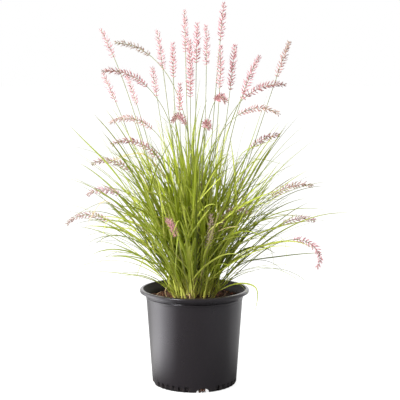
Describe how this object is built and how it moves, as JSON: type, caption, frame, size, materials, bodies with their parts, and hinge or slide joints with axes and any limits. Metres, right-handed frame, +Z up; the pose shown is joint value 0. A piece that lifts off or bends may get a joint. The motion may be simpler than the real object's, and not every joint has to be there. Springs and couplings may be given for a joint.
{
  "type": "potted fountain grass clump",
  "caption": "Fountain grass clump with fine arching leaves and pink bottlebrush flower spikes, growing in a round tapered nursery pot with a turned-down rim.",
  "frame": {"origin": "middle of the pot's underside, on the surface that the pot stands on", "axes": "+Z up through the plant; -Y towards the viewer, +X to the viewer's right"},
  "size_m": [0.605, 0.5954, 0.7942],
  "materials": {
    "pot_plastic": "satin",
    "potting_soil": "matte",
    "crown_sheaths": "matte",
    "leaf_blade": "satin",
    "flower_stalk": "matte"
  },
  "bodies": {
    "root": {"crown": "crown_sheaths", "flower_stalk_01": "flower_stalk", "flower_stalk_02": "flower_stalk", "flower_stalk_03": "flower_stalk", "flower_stalk_04": "flower_stalk", "flower_stalk_05": "flower_stalk", "flower_stalk_06": "flower_stalk", "flower_stalk_07": "flower_stalk", "flower_stalk_08": "flower_stalk", "flower_stalk_09": "flower_stalk", "flower_stalk_10": "flower_stalk", "flower_stalk_11": "flower_stalk", "flower_stalk_12": "flower_stalk", "flower_stalk_13": "flower_stalk", "flower_stalk_14": "flower_stalk", "flower_stalk_15": "flower_stalk", "flower_stalk_16": "flower_stalk", "flower_stalk_17": "flower_stalk", "flower_stalk_18": "flower_stalk", "flower_stalk_19": "flower_stalk", "flower_stalk_20": "flower_stalk", "flower_stalk_21": "flower_stalk", "flower_stalk_22": "flower_stalk", "flower_stalk_23": "flower_stalk", "flower_stalk_24": "flower_stalk", "flower_stalk_25": "flower_stalk", "flower_stalk_26": "flower_stalk", "flower_stalk_27": "flower_stalk", "flower_stalk_28": "flower_stalk", "flower_stalk_29": "flower_stalk", "flower_stalk_30": "flower_stalk", "flower_stalk_31": "flower_stalk", "flower_stalk_32": "flower_stalk", "flower_stalk_33": "flower_stalk", "flower_stalk_34": "flower_stalk", "flower_stalk_35": "flower_stalk", "leaf_tuft_01": "leaf_blade", "leaf_tuft_02": "leaf_blade", "leaf_tuft_03": "leaf_blade", "leaf_tuft_04": "leaf_blade", "leaf_tuft_05": "leaf_blade", "leaf_tuft_06": "leaf_blade", "leaf_tuft_07": "leaf_blade", "leaf_tuft_08": "leaf_blade", "leaf_tuft_09": "leaf_blade", "leaf_tuft_10": "leaf_blade", "leaf_tuft_11": "leaf_blade", "leaf_tuft_12": "leaf_blade", "leaf_tuft_13": "leaf_blade", "leaf_tuft_14": "leaf_blade", "leaf_tuft_15": "leaf_blade", "leaf_tuft_16": "leaf_blade", "leaf_tuft_17": "leaf_blade", "leaf_tuft_18": "leaf_blade", "leaf_tuft_19": "leaf_blade", "leaf_tuft_20": "leaf_blade", "leaf_tuft_21": "leaf_blade", "leaf_tuft_22": "leaf_blade", "pot": "pot_plastic", "soil": "potting_soil"}
  },
  "joints": []
}
